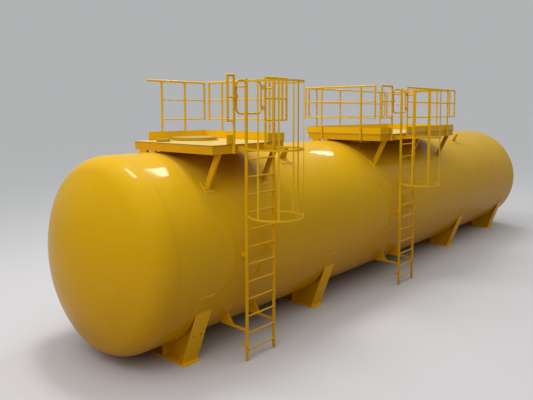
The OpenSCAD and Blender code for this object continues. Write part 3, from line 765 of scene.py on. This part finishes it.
horn_y = WEAR_R * math.sin(math.radians(HORN_ANGLE)) + HORN_BEAD_OUT
horn_z = AXIS_Z - WEAR_R * math.cos(math.radians(HORN_ANGLE)) + HORN_BEAD_UP
for k in range(1, 5):
    plate = f"wear_plate_{k}"
    x = middle(plate, "x")
    half = (span(plate, "x")[1] - span(plate, "x")[0]) / 2
    beads = [pad_bead(x, 180.0, half, WEAR_ANGLE, WEAR_CORNER)]
    for side in (-1, 1):
        ends = [(x + end * (half - RIB_INSET), side * horn_y, horn_z) for end in (-1, 1)]
        beads.append(make_bead(ends, closed=False, radius=HORN_BEAD_R))
    join_pieces(beads, f"wear_plate_{k}_welds", highlight_weld_paint)

# %% Weld the pads of the struts, the brackets and the lugs
# A pad has half a length along the tank and half an angle round it.
STRUT_ANGLE = 47.0
STRUT_PAD = (0.090, 4.0)
STRUT_INSETS = {1: (0.18, 0.18), 2: (0.29, 0.25)}
STRUT_NUT = (0.024, 0.013, 0.016, 0.006)
STRUT_NUT_X = 0.068
STRUT_NUT_ANGLE = 1.7
PAD_OUT = 0.0102
BRACKET_ANGLE = 133.0
BRACKET_PAD = (0.060, 9.0)
STILE_X = STILE_OUT - STILE_WIDTH / 2
LUG_ANGLE = 30.0
LUG_PAD = (0.1775, 6.0)
PAD_CORNER = 0.004

strut_nut = make_nut(*STRUT_NUT)
for k, (first_inset, last_inset) in STRUT_INSETS.items():
    start, end = span(f"deck_frame_{k}", "x")
    struts_x = [start + first_inset, end - last_inset]
    if k == 2:
        struts_x.insert(1, (start + end) / 2)
    beads = [pad_bead(x, STRUT_ANGLE, *STRUT_PAD, PAD_CORNER) for x in struts_x]
    join_pieces(beads, f"deck_{k}_strut_welds", highlight_weld_paint)
    places = []
    for x in struts_x:
        for side in (-1, 1):
            for slope in (-STRUT_NUT_ANGLE, STRUT_NUT_ANGLE):
                turn = math.radians(STRUT_ANGLE + slope)
                out = Vector((0.0, -math.sin(turn), math.cos(turn)))
                foot = Vector((x + side * STRUT_NUT_X, 0.0, AXIS_Z))
                places.append((foot + (SHELL_R + PAD_OUT) * out, out))
    nuts = copies_at(strut_nut, places)
    join_pieces(nuts, f"deck_{k}_strut_nuts", bolt_paint)
    beads = [pad_bead(LADDER_X[k] + side * STILE_X, BRACKET_ANGLE, *BRACKET_PAD, PAD_CORNER)
             for side in (-1, 1)]
    join_pieces(beads, f"ladder_{k}_bracket_welds", highlight_weld_paint)
bpy.data.objects.remove(strut_nut)

lug_x = span("lifting_lugs", "x")[1] - LUG_PAD[0]
beads = [pad_bead(sx * lug_x, sy * LUG_ANGLE, *LUG_PAD, PAD_CORNER)
         for sx in (-1, 1) for sy in (-1, 1)]
join_pieces(beads, "lifting_lug_welds", highlight_weld_paint)

# %% [markdown]
# ## Rung collars
#
# A rung passes through the stile and is welded all round, which leaves a small collar on the
# inner face. One collar is a torus, and a copy goes to each end of each rung.

# %% Weld the rungs
RUNG_FIRST = 0.169
RUNG_PITCH = 0.280
RUNG_R = 0.013
COLLAR_R = 0.0035
COLLAR_OUT = 0.001
RUNG_BELOW_DECK = 0.1
rung_count = 1 + int((DECK_Z - RUNG_FIRST - RUNG_BELOW_DECK) / RUNG_PITCH)

deselect_all()
bpy.ops.mesh.primitive_torus_add(major_radius=RUNG_R + COLLAR_OUT, minor_radius=COLLAR_R,
                                 major_segments=14, minor_segments=6)
collar = bpy.context.object
bpy.ops.object.shade_smooth()
for k in (1, 2):
    places = []
    for i in range(rung_count):
        for side in (-1, 1):
            x = LADDER_X[k] + side * (STILE_OUT - STILE_WIDTH)
            places.append(((x, LADDER_Y, RUNG_FIRST + i * RUNG_PITCH), (side, 0, 0)))
    join_pieces(copies_at(collar, places), f"ladder_{k}_rung_welds", highlight_weld_paint)
bpy.data.objects.remove(collar)

# %% [markdown]
# ## Hinge pin nuts
#
# Each gate turns on two upright pins. A small nut closes each pin above and below the ears of
# its hinge. The joint's own place in the frame says where the pins stand.

# %% Close the hinge pins
PIN_HEIGHTS = (0.577, 0.915)
EAR_OUT = 0.026
PIN_NUT = (0.021, 0.008, 0.012, 0.004)
HINGES = {joint["name"]: joint for joint in frame["joints"]}

pin_nut = make_nut(*PIN_NUT)
for k in (1, 2):
    pin = HINGES[f"gate_{k}_hinge"]["pos_m"]
    places = []
    for height in PIN_HEIGHTS:
        for side in (-1, 1):
            places.append(((pin[0], pin[1], DECK_Z + height + side * EAR_OUT), (0, 0, side)))
    join_pieces(copies_at(pin_nut, places), f"gate_{k}_pin_nuts", bolt_paint)
bpy.data.objects.remove(pin_nut)

# %% [markdown]
# ## Floor
#
# The studio floor is one wide, pale sheet. It catches the tank's shadow. Rays that only carry
# soft light see a darker, warmer floor, so the belly of the tank stays in shade as it does in the
# photograph.

# %% Make the floor
FLOOR_SIZE = 600.0
FLOOR_COLOR = (0.61, 0.565, 0.585, 1.0)
FLOOR_BOUNCE = (0.37, 0.275, 0.185, 1.0)

deselect_all()
bpy.ops.mesh.primitive_plane_add(size=FLOOR_SIZE, location=(0.0, 0.0, 0.0))
floor = bpy.context.object
select_faces(floor, lambda center, normal: True)
bpy.ops.mesh.subdivide(number_cuts=8)
bpy.ops.object.mode_set(mode="OBJECT")
floor_material = bpy.data.materials.new("pale_floor")
floor_material.use_nodes = True
floor_tree = floor_material.node_tree
floor_shader = floor_tree.nodes["Principled BSDF"]
floor_shader.inputs["Roughness"].default_value = 1.0
floor_shader.inputs["Specular IOR Level"].default_value = 0.0
floor_color = blend_color(floor_tree, seen_rays(floor_tree), FLOOR_BOUNCE, FLOOR_COLOR)
floor_tree.links.new(floor_color, floor_shader.inputs["Base Color"])
finish_piece(floor, "floor", floor_material)
print("floor:", len(floor.data.polygons), "faces")

# %% [markdown]
# ## Studio light
#
# In the photograph the light comes from beyond the near end of the tank and from above, so faces
# that look along the tank or upwards are bright and the long side is in half shade. The world
# gives the light from above: it is bright overhead and dim near the horizon. Where it is seen, it
# has the tone that the floor takes far away, so no horizon shows. Two large soft boxes stand off
# the near end, one above the other. Three short strip lights overhead are the only lamps that the
# gloss mirrors: one shows on the near head and two along the shell.

# %% Light the scene
# Each soft box has a place, a target, a width, a height and a power in watts.
SOFT_BOXES = {
    "end_box": ((-20.0, -3.0, 8.0), (-4.0, 0.0, 1.8), 12.0, 7.0, 300.0),
    "upper_box": ((-14.0, -3.0, 10.0), (-6.0, -0.5, 2.5), 10.0, 4.0, 250.0),
}
# Each strip light has a place along and across the tank, and a width. It points down, and a
# little towards the ladders.
STRIPS = ((-6.2, 1.5, 1.5), (0.2, 2.3, 0.9), (11.0, 3.3, 0.9))
STRIP_Z = 12.0
STRIP_LENGTH = 3.0
STRIP_LEAN = 0.5
WATTS_PER_AREA = 85.0


def soft_box(name, place, target, width, height, power, mirrored=True):
    """A rectangular lamp at a place, turned to face a target."""
    lamp = bpy.data.lights.new(name, "AREA")
    lamp.shape = "RECTANGLE"
    lamp.size = width
    lamp.size_y = height
    lamp.energy = power
    box = bpy.data.objects.new(name, lamp)
    box.location = place
    box.rotation_euler = (Vector(target) - Vector(place)).to_track_quat("-Z", "Y").to_euler()
    box.visible_glossy = mirrored
    bpy.context.collection.objects.link(box)
    return box


for name, sizes in SOFT_BOXES.items():
    soft_box(name, *sizes, mirrored=False)
for number, (x, y, width) in enumerate(STRIPS, 1):
    power = WATTS_PER_AREA * width * STRIP_LENGTH
    target = (x, y - STRIP_LEAN, 0.0)
    soft_box(f"strip_light_{number}", (x, y, STRIP_Z), target, width, STRIP_LENGTH, power)

# %% Light the world
DOME_LOW = (0.11, 0.088, 0.07, 1.0)
DOME_HIGH = (1.34, 1.51, 1.49, 1.0)
DOME_CURVE = 2.0
# With this curve a flat floor gets half of the low colour and half of the high colour.
HORIZON_COLOR = [floor_part * (low + high) / 2
                 for floor_part, low, high in zip(FLOOR_COLOR, DOME_LOW, DOME_HIGH)]
HORIZON_COLOR[3] = 1.0

world = bpy.data.worlds.new("studio")
world.use_nodes = True
bpy.context.scene.world = world
tree = world.node_tree
direction = put(tree, "ShaderNodeTexCoord").outputs["Generated"]
upward = put(tree, "ShaderNodeSeparateXYZ", in_0=direction).outputs[2]
overhead = math_node(tree, "POWER", ramp_between(tree, upward, 0.0, 1.0), DOME_CURVE)
dome = blend_color(tree, overhead, DOME_LOW, DOME_HIGH)
world_color = blend_color(tree, seen_rays(tree), dome, HORIZON_COLOR)
tree.links.new(world_color, tree.nodes["Background"].inputs["Color"])
bpy.context.scene.view_settings.view_transform = "Standard"
print("horizon colour", [round(part, 3) for part in HORIZON_COLOR])
